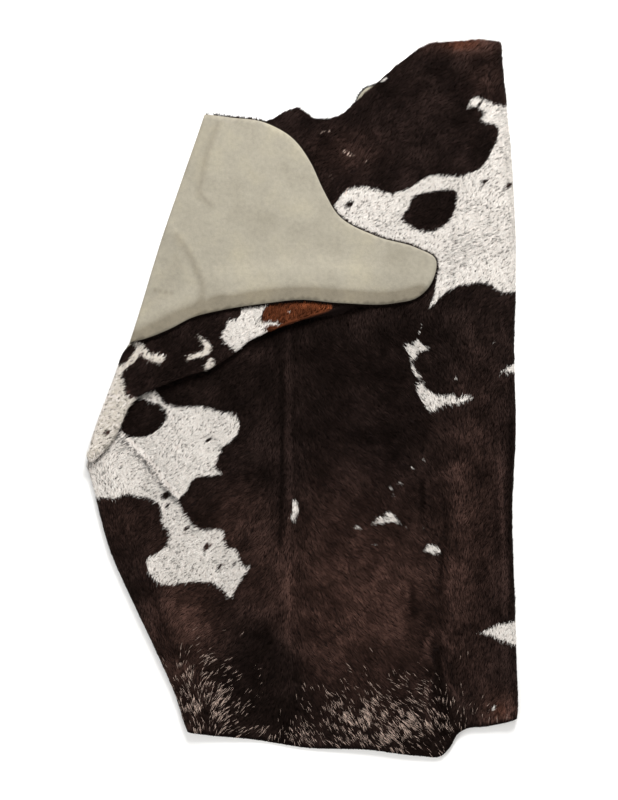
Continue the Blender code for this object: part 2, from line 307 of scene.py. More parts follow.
# Smooth random values from 0 to 1 over a plane, with about one bump for each size.
def softNoise(points, size, seed):
    table = np.random.default_rng(seed).random((256, 256))
    at = points / size + 1000
    low = np.floor(at).astype(int)
    share = at - low
    share = share * share * (3 - 2 * share)
    i = low % 256
    j = (low + 1) % 256
    bottom = table[i[:, 0], i[:, 1]] * (1 - share[:, 0]) + table[j[:, 0], i[:, 1]] * share[:, 0]
    top = table[i[:, 0], j[:, 1]] * (1 - share[:, 0]) + table[j[:, 0], j[:, 1]] * share[:, 0]
    return bottom * (1 - share[:, 1]) + top * share[:, 1]


# The place of each flat point seen from above, and its share of each turned or pleated layer.
def foldUp(flat):
    spot, layers, top = makePleat(flat)
    lower = layers < 1
    over, flap = turnOver(spot, flapFold)
    spot = np.where(lower[:, None], spot, over)
    flap = np.where(lower, 0, flap)
    under, right = turnOver(spot, rightFold)
    besideFlap = flap > 0.5
    spot = np.where(besideFlap[:, None], spot, under)
    right = np.where(besideFlap, 0, right)
    under, left = turnOver(spot, leftFold)
    spot = np.where(lower[:, None], under, spot)
    left = np.where(lower, left, 0)
    return spot, layers, top, flap, np.maximum(left, right)


# The extra height beside a fold.
def swell(spot, fold):
    beside = -placeOnFold(spot, fold)[1] - fold.round * mm
    return fold.lift * mm * np.exp(-(beside / sheetValues["foldReach"])**2)


# Creases as soft ridges, or troughs where the rise is below zero. Their tone is painted shade and highlight:
# below zero it darkens the hair there as shade in the crease, above zero it lightens it as sheen. On the
# flap's suede, a tone above zero is painted shade.
Crease = namedtuple("Crease", "path wide rise tone")

bodyCreases = (
    Crease(((-58, 90), (-56, -60), (-58, -250), (-62, -420)), 5, -1.5, -1.2),         # beside the spine
    Crease(((-17, 53), (-20, -40), (-18, -115)), 6, -1, -0.4),
    Crease(((-36, 180), (-38, -20), (-35, -260), (-40, -480), (-36, -700)), 9, 1.5, 0.8),
    # the neck's folds and the slots between them, with painted shade in the slots and painted sheen on the
    # folds
    Crease(((362, -655), (344, -700), (369, -751), (344, -839), (355, -930)), 8, 1.5, 1.2),
    Crease(((388, -720), (395, -750), (409, -795), (435, -839), (464, -861)), 8, 1.5, 1.2),
    Crease(((377, -712), (380, -802), (394, -861), (399, -930)), 16, -3, -2.2),
    Crease(((391, -655), (402, -680), (424, -702)), 8, 1.5, 1.0),
    Crease(((308, -515), (306, -600)), 9, 0, -1.0),
    Crease(((294, -515), (296, -600)), 5, 1.5, 0.7),
    Crease(((337, -238), (338, -302)), 8, -0.5, -1.0),
    Crease(((348, -236), (347, -300), (356, -350)), 5, 1.5, 0.8),
    Crease(((396, -280), (402, -340), (399, -395)), 8, -1.5, -0.9),
    Crease(((391, -430), (389, -454), (385, -545)), 7, -1.5, -0.9),
    Crease(((418, -450), (416, -500), (408, -570)), 12, 1.5, 0.45),
    Crease(((432, -190), (445, -300), (448, -400), (440, -520)), 22, 3, 0.45),
    Crease(((500, -230), (497, -400), (505, -580)), 26, 0, -0.65),
    Crease(((553, -170), (560, -380), (566, -507), (565, -600)), 9, 1.5, 1.1),
    Crease(((584, -60), (582, -300), (588, -560)), 9, 0, -1.0),
    # painted sheen: the lighter streaks beside the right fold
    Crease(((566, -690), (574, -760), (574, -885)), 12, 1.5, 0.6),       # streaks beside the right fold
    Crease(((562, 221), (566, 131)), 9, 1.5, 0.5),
    Crease(((471, 221), (473, 149)), 12, 1.5, 0.4),
    Crease(((447, 60), (452, -150), (446, -330)), 12, 1.5, 0.1),
    Crease(((540, -20), (545, -90), (552, -150)), 10, 1.5, 0.3),
    Crease(((-55, -409), (-71, -474), (-103, -527), (-130, -605)), 9, 1.5, 0.2),
    Crease(((-162, -373), (-160, -412)), 7, -1.5, -0.8),
    Crease(((-196, 28), (-183, -2), (-164, -26)), 10, -1.2, -0.5),
    Crease(((-423, -516), (-395, -610), (-354, -700)), 12, -1.5, -0.4),    # beside the left fold
    Crease(((-440, -545), (-412, -645), (-373, -748)), 12, 1.5, 0.25),
    Crease(((-510, -104), (-468, -143), (-432, -180), (-402, -222), (-378, -254), (-350, -280)),
           11, -1.5, -1.1),
    Crease(((-510, -150), (-462, -190), (-432, -240)), 20, 3, 0.05),
    Crease(((-545, 0), (-510, -6), (-478, 2)), 6, -1.5, -0.5),
    Crease(((-506, -96), (-540, -130), (-580, -168)), 5, -1.5, -0.7),      # beside the pleat's end
    Crease(((-350, -290), (-300, -350), (-262, -404)), 16, -1, -0.25),
    Crease(((-322, -305), (-290, -335), (-250, -372)), 10, 0, -0.6),
    Crease(((150, -20), (110, -160), (90, -300)), 12, 1.5, 0.15),
    Crease(((-120, 120), (-125, -60), (-118, -240)), 14, 2, 0.12),
    Crease(((340, 900), (375, 850), (412, 812), (440, 730)), 26, 4, 0.1),   # soft wrinkles of the rump
    Crease(((472, 930), (455, 840), (470, 760)), 22, 3, 0.1),
    Crease(((240, 800), (300, 740), (350, 680), (430, 660)), 24, 3.5, 0.15),
    Crease(((120, 780), (190, 760), (250, 700)), 28, 3, 0.05),
    Crease(((150, 640), (220, 660), (290, 700)), 16, 3, -0.1),
    Crease(((500, 820), (480, 720), (505, 660)), 20, 3, 0),
    Crease(((110, -230), (160, -275), (200, -350)), 10, 1.5, 0.1),
    Crease(((180, -220), (225, -280), (250, -380)), 9, 1.5, 0.1),
    Crease(((-150, -720), (-140, -800), (-155, -900)), 18, 3, -0.2),
)
flapCreases = (
    Crease(((-234, 770), (-265, 690), (-277, 630), (-283, 570), (-253, 540)), 9, 2, 0.45),
    Crease(((-262, 775), (-290, 700), (-305, 620)), 20, 3, 0.15),
    Crease(((-352, 455), (-318, 410), (-296, 365), (-277, 310), (-290, 250)), 10, 3, 0.55),
    Crease(((-368, 470), (-345, 420), (-330, 340)), 14, 3, 0),
    Crease(((-411, 303), (-385, 298), (-362, 294)), 4, 1, 0.5),
    Crease(((-470, 168), (-400, 200), (-330, 235), (-228, 264)), 22, 0, 1.3),
    Crease(((-240, 262), (-100, 287), (0, 294), (110, 287), (270, 285), (330, 300)), 18, 0, 1.7),
    Crease(((-250, 330), (-120, 352), (40, 352), (250, 345)), 28, 3, 0),
    Crease(((-300, 530), (-220, 552)), 5, 1, -0.1),
    Crease(((-120, 640), (-60, 560), (20, 480)), 34, 2, 0),
    Crease(((-430, 260), (-380, 330), (-350, 380)), 30, 0, 0.2),
)


# The height that creases give, and their tone of painted shade and highlight.
def readCreases(spot, creases):
    rise = np.zeros(len(spot))
    tone = np.zeros(len(spot))
    for crease in creases:
        path = smoothPath(np.array(crease.path) * mm, 12 * mm)
        near = np.exp(-(distanceToPath(spot, path, 4 * crease.wide * mm) / (crease.wide * mm))**2)
        rise += crease.rise * mm * near
        tone += crease.tone * near
    return rise, tone


# The middle of the leather at each flat point of the folded hide.
def layHide(flat, edge):
    pitch = sheetValues["pitch"]
    overhang = sheetValues["overhang"]
    reach = overhang + sheetValues["slope"]
    half = sheetValues["thickness"] / 2
    spot, layers, top, flap, under = foldUp(flat)
    rightLobe = np.concatenate([edge[name] for name in ("right hind leg", "right belly", "right fore leg")])
    covered = np.zeros(len(flat))
    for lobe in (rightLobe, edge["left fore leg"]):
        outside = distanceToLoop(spot, foldUp(lobe[::4])[0])
        covered = np.maximum(covered, 1 - smoothstep(outside, overhang, reach))
    height = half + pitch * covered + swell(spot, rightFold) + swell(spot, leftFold)

    along, below = placeOnFold(spot, pleat)
    started = smoothstep(along, *pleatRise)
    aboveValley = -below - readTable(along, pleatWidths)
    raised = started * (1 - smoothstep(aboveValley, overhang, reach))
    ridge = started * swell(spot, pleat)
    besideRidge = 1 - smoothstep(below, 0, overhang)
    flapHeight = height + besideRidge * (2 * pitch * raised + ridge) + pitch + swell(spot, flapFold)
    height = height + pitch * layers * raised + top * ridge
    height = height + flap * (flapHeight - height)

    wave = sheetValues["waveHeight"] * softNoise(spot, sheetValues["waveLength"], 11)
    bodyRise = readCreases(spot, bodyCreases)[0]
    flapRise = np.maximum(readCreases(spot, flapCreases)[0], 0)
    outside = (layers < 0.5) | (top > 0.5)
    rise = wave + flap * (flapRise + np.maximum(bodyRise, 0)) + (1 - flap) * np.where(outside, bodyRise, 0)
    height = np.maximum(height + rise, half)
    height = height + under * (half - height)
    return np.column_stack((spot, height)), (spot, layers, top, flap, under)


# Lines of flat points that run along a fold: one line for each offset, one point for each station.
def foldLines(fold, stations, offsets):
    start, along, out, _ = foldFrame(fold)
    line = readTable(stations, fold.bends) + fold.round * mm
    return start + np.outer(stations, along) + (line + offsets)[..., None] * out


def plainFoldLines(fold):
    length = foldFrame(fold)[3]
    stations = np.linspace(0, length, round(length / sheetValues["foldStep"]) + 1)
    lines = foldLines(fold, stations, np.array(foldRows)[:, None] * mm)
    if fold == flapFold:
        lines = openPleat(lines.reshape(-1, 2), 0).reshape(lines.shape)
    return lines


# The pleat's lines close up on each other where it begins.
def pleatLines():
    stations = np.arange(pleatRise[0], foldFrame(pleat)[3], sheetValues["pleatStep"])
    width = readTable(stations, pleatWidths)
    offsets = [row * mm - 2 * width for row in crestRows]
    for row in returnRows:
        offsets.append(np.minimum(row * mm, 0.25 * row / returnRows[0] * width) - 2 * width)
    offsets.append(-1.5 * width)
    for row in reversed(returnRows):
        offsets.append(-np.minimum(row * mm, 0.25 * row / returnRows[0] * width) - width)
    offsets += [row * mm - width for row in valleyRows]
    return foldLines(pleat, stations, np.array(offsets))


# Keep the points of some lines that lie inside the hide and apart from each other, and join neighbours.
def keepLines(lines, loop, first):
    inside = distanceToLoop(lines.reshape(-1, 2), loop).reshape(lines.shape[:2])
    kept = inside < -0.5 * sheetValues["closeStep"]
    column = np.arange(lines.shape[1])
    for k in range(1, len(lines)):
        last = np.maximum.accumulate(np.where(kept[:k], np.arange(k)[:, None], 0), axis=0)[-1]
        apart = np.hypot(*(lines[k] - lines[last, column]).T)
        kept[k] &= (apart > sheetValues["closest"]) | ~kept[last, column]
    number = np.full(kept.shape, -1)
    number[kept] = first + np.arange(kept.sum())
    joined = kept[:, :-1] & kept[:, 1:]
    return lines[kept], np.column_stack((number[:, :-1][joined], number[:, 1:][joined])).tolist()


# Even rows of points over the whole flat hide, each row shifted by half a step.
def fieldPoints(loop):
    step = sheetValues["fieldStep"]
    low = loop.min(axis=0)
    high = loop.max(axis=0)
    rows = np.arange(low[1], high[1], step * 0.866)
    return np.array([(x + (k % 2) * step / 2, y) for k, y in enumerate(rows)
                     for x in np.arange(low[0], high[0], step)])


# Where the nearest of some points is found.
def pointTree(points):
    tree = KDTree(len(points))
    for k, (x, y) in enumerate(points):
        tree.insert((x, y, 0), k)
    tree.balance()
    return tree


# The flat hide as triangles: its edge, close lines along the folds and even points elsewhere.
def flatMesh(edge):
    step = sheetValues["fieldStep"]
    loop = np.concatenate(list(edge.values()))
    points = [loop]
    joins = []
    for lines in [plainFoldLines(fold) for fold in (rightFold, leftFold, flapFold)] + [pleatLines()]:
        kept, joined = keepLines(lines, loop, sum(len(part) for part in points))
        points.append(kept)
        joins += joined
    tree = pointTree(np.concatenate(points[1:]))
    field = fieldPoints(loop)
    field = field[distanceToLoop(field, loop) < -0.5 * step]
    apart = np.array([tree.find((x, y, 0))[2] for x, y in field])
    points.append(field[apart > 0.6 * step])
    points = np.concatenate(points)
    result = delaunay_2d_cdt(points.tolist(), joins, [list(range(len(loop)))], 1, 1e-7)
    return np.array([tuple(point) for point in result[0]]), np.array(result[2])


def unit(vectors):
    return vectors / np.linalg.norm(vectors, axis=1)[:, None]


# The way each vertex faces, from the faces around it.
def vertexNormals(points, triangles):
    a, b, c = (points[triangles[:, k]] for k in range(3))
    across = np.cross(b - a, c - a)
    normals = np.zeros_like(points)
    for k in range(3):
        np.add.at(normals, triangles[:, k], across)
    return unit(normals)


# The coat's patches. "upper" and "lower" say which side of the pleat's ridge a patch is on.
Patch = namedtuple("Patch", "hair layer outline")

coat = (
    Patch("white", "any", (
        (489, 848), (523, 831), (568, 820), (640, 820), (640, 313), (548, 302), (528, 319), (470, 322),
        (414, 305), (388, 285), (360, 257), (372, 310), (377, 344), (300, 380), (150, 420), (60, 500),
        (94, 545), (125, 587), (201, 590), (243, 576), (290, 585), (318, 602), (360, 624), (453, 627),
        (495, 644), (523, 680), (545, 728), (548, 758), (500, 782), (506, 798), (489, 814), (461, 817),
        (473, 837))),
    Patch("dark", "any", (
        (313, 568), (360, 579), (433, 574), (430, 546), (414, 503), (388, 481), (347, 470), (307, 484),
        (282, 506), (302, 540))),
    Patch("white", "any", (
        (280, 149), (308, 156), (322, 165), (334, 156), (354, 145), (325, 126), (310, 107), (299, 100),
        (301, 121), (292, 135))),
    Patch("white", "any", ((295, 101), (311, 94), (316, 80), (336, 60), (328, 56), (307, 76), (303, 90))),
    Patch("white", "any", (
        (321, 44), (341, 49), (339, 37), (359, 23), (371, 15), (408, 12), (427, 18), (429, 2), (455, 12),
        (480, 6), (461, -2), (436, -12), (397, -18), (376, -30), (366, -37), (336, -12), (327, 9),
        (317, 23))),
    Patch("white", "any", ((553, 74), (583, 94), (640, 98), (640, 66), (585, 74))),
    Patch("white", "lower", (
        (-456, 11), (-410, 22), (-384, -9), (-342, -20), (-275, -20), (-228, -33), (-181, -51), (-179, -98),
        (-214, -133), (-236, -166), (-239, -191), (-225, -205), (-306, -227), (-320, -255), (-344, -283),
        (-334, -306), (-312, -341), (-284, -362), (-222, -368), (-206, -413), (-183, -422), (-164, -462),
        (-145, -473), (-161, -496), (-183, -531), (-198, -556), (-219, -537), (-244, -518), (-289, -511),
        (-338, -515), (-380, -520), (-416, -502), (-432, -444), (-405, -431), (-376, -402), (-370, -381),
        (-396, -341), (-391, -319), (-405, -290), (-460, -271), (-502, -268), (-519, -278), (-563, -275),
        (-640, -300), (-640, 80), (-480, 60))),
    Patch("dark", "lower", (
        (-496, -37), (-463, 0), (-424, -9), (-387, -26), (-379, -54), (-398, -79), (-429, -101),
        (-457, -107), (-505, -90))),
    Patch("white", "upper", (
        (-167, 263), (-167, 300), (-93, 300), (-93, 266), (-110, 243), (-113, 218), (-96, 190), (-143, 165),
        (-185, 131), (-208, 151), (-228, 176), (-211, 201), (-208, 221), (-177, 226))),
    Patch("brown", "upper", (
        (-93, 300), (-93, 266), (-110, 240), (-110, 204), (-93, 186), (-40, 207), (15, 225), (86, 257),
        (44, 300))),
    Patch("white", "upper", ((-110, 217), (-62, 214), (-56, 209), (-84, 206), (-112, 202))),
    Patch("cream", "upper", (
        (-292, 179), (-271, 168), (-254, 157), (-250, 140), (-262, 124), (-290, 116), (-322, 110),
        (-320, 119), (-288, 131), (-274, 143), (-280, 158))),
    Patch("cream", "upper", ((-258, 117), (-241, 103), (-258, 78), (-270, 80))),
    Patch("cream", "upper", (
        (-487, 162), (-452, 166), (-428, 135), (-379, 116), (-381, 108), (-446, 119), (-462, 140))),
    Patch("cream", "upper", ((-462, 140), (-450, 128), (-480, 95), (-512, 75), (-530, 84), (-490, 104))),
    Patch("cream", "upper", (
        (-530, 84), (-505, 78), (-498, 60), (-492, 28), (-478, 8), (-440, 0), (-440, -60), (-520, -210),
        (-660, -210), (-660, 80))),
    Patch("white", "any", ((-27, -279), (-24, -279), (-21, -336), (-24, -337))),
    Patch("white", "any", (
        (188, -355), (204, -336), (228, -325), (242, -313), (259, -329), (270, -341), (290, -352),
        (268, -346), (222, -348))),
    Patch("white", "any", ((141, -361), (153, -352), (165, -362))),
    Patch("white", "any", ((335, -422), (355, -405), (381, -416), (389, -427), (374, -432), (355, -430))),
    Patch("white", "any", (
        (485, -654), (515, -646), (538, -632), (569, -625), (591, -616), (640, -610), (640, -690),
        (592, -686), (572, -679), (552, -672), (535, -663), (515, -659))),
)

# Small marks in the coat: x, y and size.
flecks = {
    "dark": (
        (512, 607, 6), (134, 546, 8), (576, 596, 6), (498, 826, 4), (-379, -268, 9), (-219, -138, 5),
        (-262, -114, 5), (-541, -93, 6), (-376, -294, 5), (-322, -362, 5), (-267, -413, 7),
        (-188, -460, 5), (-228, -468, 5)),
    "white": (
        (535, 159, 3), (429, 56, 4), (332, 204, 3), (327, 190, 3), (271, -237, 4), (248, -250, 3),
        (251, -269, 3), (307, -191, 3), (341, -171, 3), (340, -362, 3), (201, -406, 3), (535, -865, 6),
        (230, 893, 6)),
}

# Where the dark hair is brown or the white hair is cream, and where it is darker or lighter than the rest.
# Two lighter, cooler ones are painted bluish-grey sheen.
Tint = namedtuple("Tint", "x y reachX reachY warm tone")

tintsAndSheen = (
    Tint(440, 992, 90, 26, 0.8, 0.15), Tint(520, 900, 60, 70, 0.12, 0.0),
    Tint(160, -560, 220, 260, 0.42, 0.12), Tint(-330, -600, 90, 230, 0.30, 0.10),
    Tint(550, -870, 45, 45, 0.6, 0.15), Tint(-90, -830, 80, 150, -0.3, -0.40),
    # painted sheen: Tint(-20, 790) on the rump's top and Tint(80, -955) along the neck's edge are cooler and
    # lighter
    Tint(-60, 20, 60, 330, -0.1, -0.30), Tint(-20, 790, 40, 30, -0.2, 0.6),
    Tint(80, -955, 170, 18, -0.2, 0.45), Tint(-560, -150, 60, 160, 0.10, 0.0),
    Tint(-245, -390, 60, 50, 0.25, -0.15), Tint(590, 600, 30, 150, 0.3, 0.05),
    Tint(120, 690, 90, 60, 0.15, 0.05), Tint(320, 760, 120, 90, 0.0, 0.16),
    Tint(470, -300, 90, 330, 0.15, 0.16), Tint(260, 60, 110, 230, -0.1, -0.15),
    Tint(-483, -332, 75, 90, 0.1, 0.5), Tint(-140, -470, 70, 110, 0.1, 0.35),
    Tint(-300, -590, 60, 50, 0.1, 0.35), Tint(480, -760, 45, 75, 0.05, 0.4),
    Tint(330, -60, 60, 90, 0.05, 0.3), Tint(0, 225, 100, 30, 0, -0.3), Tint(-180, 60, 130, 80, -0.1, -0.15),
    Tint(-170, -300, 80, 60, 0.15, 0.1),
)


# How far inside the white hair each place is, below zero in the dark, and how warm its colour is.
def readCoat(spot, upper):
    reach = 25 * mm
    white = np.full(len(spot), -reach)
    warm = np.zeros(len(spot))
    lie = math.radians(hairLie["left"])
    for patch in coat:
        outline = np.array(patch.outline + patch.outline[:1]) * mm
        inside = -distanceToLoop(spot, smoothPath(outline, 5 * mm)[:-1], reach)
        if patch.layer != "any":
            inside = np.where(upper == (patch.layer == "upper"), inside, -reach)
        isDark = patch.hair in ("dark", "brown")
        white = np.minimum(white, -inside) if isDark else np.maximum(white, inside)
        if patch.hair == "brown":
            warm = np.maximum(warm, smoothstep(inside, -2 * mm, 5 * mm))
        if patch.hair == "cream":
            warm = np.maximum(warm, 0.25 * smoothstep(inside, -4 * mm, 2 * mm))
    for hair, marks in flecks.items():
        for x, y, size in marks:
            away = spot - np.array((x, y)) * mm
            along = away @ np.array((math.cos(lie), math.sin(lie)))
            across = away @ np.array((-math.sin(lie), math.cos(lie)))
            inside = size * mm - np.hypot(along / 1.5, across)
            white = np.minimum(white, -inside) if hair == "dark" else np.maximum(white, inside)
    return white, warm


def readTints(spot, rows):
    warm = np.zeros(len(spot))
    tone = np.zeros(len(spot))
    for tint in rows:
        across = (spot[:, 0] / mm - tint.x) / tint.reachX
        along = (spot[:, 1] / mm - tint.y) / tint.reachY
        near = np.exp(-across**2 - along**2)
        warm += tint.warm * near
        tone += tint.tone * near
    return warm, tone


# How the hair lies, in degrees from X, all of it pointing up the hide.
hairLie = {
    "spine": -37 * mm,
    "spineReach": 75 * mm,
    "left": 42,
    "right": 136,
    "rump": 43,
    "rumpStart": (120 * mm, 330 * mm),
    "rightEdge": 80,
    "rightEdgeStart": (330 * mm, 470 * mm),
    "leftEdge": 108,
    "leftEdgeReach": (30 * mm, 120 * mm),
    "wander": 14,
    "wanderSize": 85 * mm,
}


# The way the hair points, as an angle from X.
def hairAngle(spot):
    x = spot[:, 0]
    y = spot[:, 1]
    side = 0.5 + 0.5 * np.tanh((x - hairLie["spine"]) / hairLie["spineReach"])
    angle = hairLie["left"] + (hairLie["right"] - hairLie["left"]) * side
    rightEdge = smoothstep(x, *hairLie["rightEdgeStart"])
    angle += rightEdge * (hairLie["rightEdge"] - angle)
    angle += smoothstep(y, *hairLie["rumpStart"]) * (hairLie["rump"] - angle)
    beside = -placeOnFold(spot, leftFold)[1]
    leftEdge = (1 - smoothstep(beside, *hairLie["leftEdgeReach"])) * (y < -150 * mm)
    angle += leftEdge * (hairLie["leftEdge"] - angle)
    wander = softNoise(spot, hairLie["wanderSize"], 21) + softNoise(spot, hairLie["wanderSize"] / 3, 22) - 1
    return np.radians(angle + 2 * hairLie["wander"] * wander)


# What shows of the leather between locks is the dark or the pale skin, darkened further as painted shade
# between the locks.
coatColors = {
    "black": "#1b1311",
    "brownBlack": "#412e28",
    "brown": "#5e321d",
    "white": "#ded9d2",
    "cream": "#d1c5b0",
    "skin": "#e3c8b8",
    "darkSkinAndShade": "#150d0b",
    "paleSkinAndShade": "#a99d95",
}


# A hex colour as linear values.
def linear(hexColor):
    parts = [int(hexColor[k:k + 2], 16) / 255 for k in (1, 3, 5)]
    return (*[p / 12.92 if p <= 0.04045 else ((p + 0.055) / 1.055)**2.4 for p in parts], 1)


# Add a node with its settings, where stops are a colour ramp's. A link is given as (node, output).
def addNode(material, kind, settings=None, **inputs):
    node = material.node_tree.nodes.new("ShaderNode" + kind)
    for name, value in (settings or {}).items():
        if name == "stops":
            marks = node.color_ramp.elements
            while len(marks) < len(value):
                marks.new(0.5)
            for mark, (place, color) in zip(marks, value):
                mark.position = place
                mark.color = color
        else:
            setattr(node, name, value)
    for name, value in inputs.items():
        key = int(name[1:]) if name[0] == "n" and name[1:].isdigit() else name.replace("_", " ")
        socket = node.inputs[key]
        if isinstance(value, tuple) and isinstance(value[0], bpy.types.Node):
            material.node_tree.links.new(value[0].outputs[value[1]], socket)
        else:
            socket.default_value = value
    return node


def newMaterial(name):
    material = bpy.data.materials.new(name)
    material.use_nodes = True
    material.node_tree.nodes.clear()
    return material


def grey(value):
    return (value, value, value, 1)


# a node that multiplies two colours
multiply = {"data_type": "RGBA", "blend_type": "MULTIPLY"}


# Cow hair, glossy like any keratin. Its tone and warmth differ from lock to lock, and painted shade makes its
# roots darker than its tips, as where the locks cover each other.
def hairMaterial(name, colors, tones, gloss, sheen, rootShade):
    material = newMaterial(name)
    warm = addNode(material, "Attribute", {"attribute_name": "warm"})
    tone = addNode(material, "Attribute", {"attribute_name": "tone"})
    along = addNode(material, "Attribute", {"attribute_name": "along"})
    base = addNode(material, "ValToRGB", {"stops": colors}, Fac=(warm, "Fac"))
    shade = addNode(material, "ValToRGB", {"stops": tones}, Fac=(tone, "Fac"))
    toned = addNode(material, "Mix", multiply, n0=1.0, n6=(base, "Color"), n7=(shade, "Color"))
    # painted shade at the roots of the locks
    depth = addNode(material, "ValToRGB", {
        "stops": ((0, grey(rootShade)), (0.45, grey(0.97)), (1, grey(1.08)))}, Fac=(along, "Fac"))
    deep = addNode(material, "Mix", multiply, n0=1.0, n6=(toned, 2), n7=(depth, "Color"))
    shader = addNode(material, "BsdfPrincipled", Base_Color=(deep, 2), Roughness=0.5, IOR=1.5,
                     Specular_IOR_Level=gloss, Specular_Tint=linear(sheen))
    addNode(material, "OutputMaterial", Surface=(shader, "BSDF"))
    return material


# The hair side of the leather: short undercoat, dull and darker than the locks that cover it, partly as the
# skin's colour and partly as painted shade between the locks.
def undercoatMaterial():
    material = newMaterial("cow undercoat on leather")
    white = addNode(material, "Attribute", {"attribute_name": "white"})
    warm = addNode(material, "Attribute", {"attribute_name": "warm"})
    place = addNode(material, "TexCoord")
    # hair strokes 2 mm wide and 16 mm long that lie up the hide
    strokes = addNode(material, "Mapping", Vector=(place, "Object"), Scale=(500, 62, 250))
    streak = addNode(material, "TexNoise", Vector=(strokes, "Vector"), Scale=1, Detail=3, Roughness=0.6)
    edge = addNode(material, "Math", {"operation": "MULTIPLY_ADD"},
                   n0=(streak, "Fac"), n1=0.5, n2=(white, "Fac"))
    mask = addNode(material, "ValToRGB", {"stops": ((0.68, grey(0)), (0.78, grey(1)))}, Fac=(edge, "Value"))
    names = ("darkSkinAndShade", "brown", "paleSkinAndShade", "white")
    darkSkinAndShade, brown, paleSkinAndShade, paleHair = [linear(coatColors[name]) for name in names]
    dark = addNode(material, "ValToRGB", {"stops": ((0, darkSkinAndShade), (1, brown))}, Fac=(warm, "Fac"))
    pale = addNode(material, "ValToRGB", {"stops": ((0.3, paleSkinAndShade), (0.7, paleHair))}, Fac=(streak, "Fac"))
    color = addNode(material, "Mix", {"data_type": "RGBA"}, n0=(mask, "Color"), n6=(dark, "Color"),
                    n7=(pale, "Color"))
    bump = addNode(material, "Bump", Strength=0.6, Distance=0.0015, Height=(streak, "Fac"))
    shader = addNode(material, "BsdfPrincipled", Base_Color=(color, 2), Roughness=0.75,
                     Specular_IOR_Level=0.06, Normal=(bump, "Normal"))
    addNode(material, "OutputMaterial", Surface=(shader, "BSDF"))
    return material


# The flesh side, buffed to suede: matt, pale grey-beige and faintly mottled, with a nap of about 2 mm,
# which is coarser than real so that it shows. Painted shade makes it a little darker in the flap's creases
# and along its lower edge.
def suedeMaterial():
    material = newMaterial("buffed suede")
    place = addNode(material, "TexCoord")
    # painted shade: darker suede where the flap's creases and its lower edge fall in shade
    handled = addNode(material, "Attribute", {"attribute_name": "handled"})
    cloud, mottle, nap = [
        addNode(material, "TexNoise", Vector=(place, "Object"), Scale=scale, Detail=detail, Roughness=rough)
        for scale, detail, rough in ((9, 4, 0.55), (85, 5, 0.65), (420, 3, 0.7))]
    shade = None
    for source, stops in (
            (cloud, ((0.30, linear("#857f70")), (0.50, linear("#8f897a")), (0.72, linear("#97907d")))),
            (mottle, ((0.35, grey(0.90)), (0.62, grey(1.03)))),
            (nap, ((0.3, grey(0.93)), (0.7, grey(1.04)))),
            (handled, ((0, grey(1)), (1, linear("#cbc6bf"))))):
        ramp = addNode(material, "ValToRGB", {"stops": stops}, Fac=(source, "Fac"))
        color = (ramp, "Color")
        if shade:
            color = (addNode(material, "Mix", multiply, n0=1.0, n6=shade, n7=color), 2)
        shade = color
    coarse = addNode(material, "Bump", Strength=0.35, Distance=0.002, Height=(mottle, "Fac"))
    bump = addNode(material, "Bump", Strength=0.5, Distance=0.0006, Height=(nap, "Fac"),
                   Normal=(coarse, "Normal"))
    shader = addNode(material, "BsdfPrincipled", Base_Color=shade, Roughness=0.92, Normal=(bump, "Normal"))
    addNode(material, "OutputMaterial", Surface=(shader, "BSDF"))
    return material


def addFloats(mesh, name, values):
    attribute = mesh.attributes.new(name, "FLOAT", "POINT")
    attribute.data.foreach_set("value", np.asarray(values, dtype=np.float32))


def addObject(name, mesh):
    piece = bpy.data.objects.new(name, mesh)
    bpy.context.collection.objects.link(piece)
    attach(piece, "root")
    return piece


# Shares of a map. On the leather's, the hair side, the flesh side and the cut edge lie beside each other.
mapValues = {
    "margin": 0.01,
    "height": 0.98,
    "sideWidth": 0.46,
    "fleshAt": 0.48,
    "rimAt": 0.965,
    "rimWidth": 0.025,
}


def makeLeather(points, triangles, flat, white, warm, handled):
    mesh = bpy.data.meshes.new("leather")
    mesh.from_pydata(points.tolist(), [], triangles.tolist())
    low = flat.min(axis=0)
    size = flat.max(axis=0) - low
    addFloats(mesh, "white", np.clip(0.5 + white / (16 * mm), 0, 1))
    addFloats(mesh, "warm", warm)
    addFloats(mesh, "handled", handled)
    layer = mesh.uv_layers.new(name="OFBake")
    corner = np.empty(len(mesh.loops), dtype=int)
    mesh.loops.foreach_get("vertex_index", corner)
    side = np.array((mapValues["sideWidth"], mapValues["height"]))
    places = (flat[corner] - low) / size * side + mapValues["margin"]
    layer.data.foreach_set("uv", places.ravel())
    mesh.materials.append(undercoatMaterial())
    mesh.materials.append(suedeMaterial())
    leather = addObject("leather", mesh)
    thick = leather.modifiers.new("thickness", "SOLIDIFY")
    thick.thickness = sheetValues["thickness"]
    thick.offset = 0.0
    thick.use_even_offset = False
    thick.material_offset = 1
    thick.material_offset_rim = 1
    bpy.context.view_layer.objects.active = leather
    leather.select_set(True)
    bpy.ops.object.modifier_apply(modifier=thick.name)
    leather.select_set(False)
    mesh = leather.data
    layer = mesh.uv_layers["OFBake"]
    inner = [face for face in mesh.polygons if face.material_index == 1]
    rims = [face for face in inner if len(face.vertices) == 4]
    for face in inner:
        for k in face.loop_indices:
            layer.data[k].uv.x += mapValues["fleshAt"]
    for count, face in enumerate(rims):
        for k, (across, up) in zip(face.loop_indices, ((0, 0), (1, 0), (1, 1), (0, 1))):
            layer.data[k].uv = (mapValues["rimAt"] + mapValues["rimWidth"] * across,
                                mapValues["margin"] + mapValues["height"] * (count + up) / len(rims))
    mesh.shade_smooth()
    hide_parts("hide")
    return leather


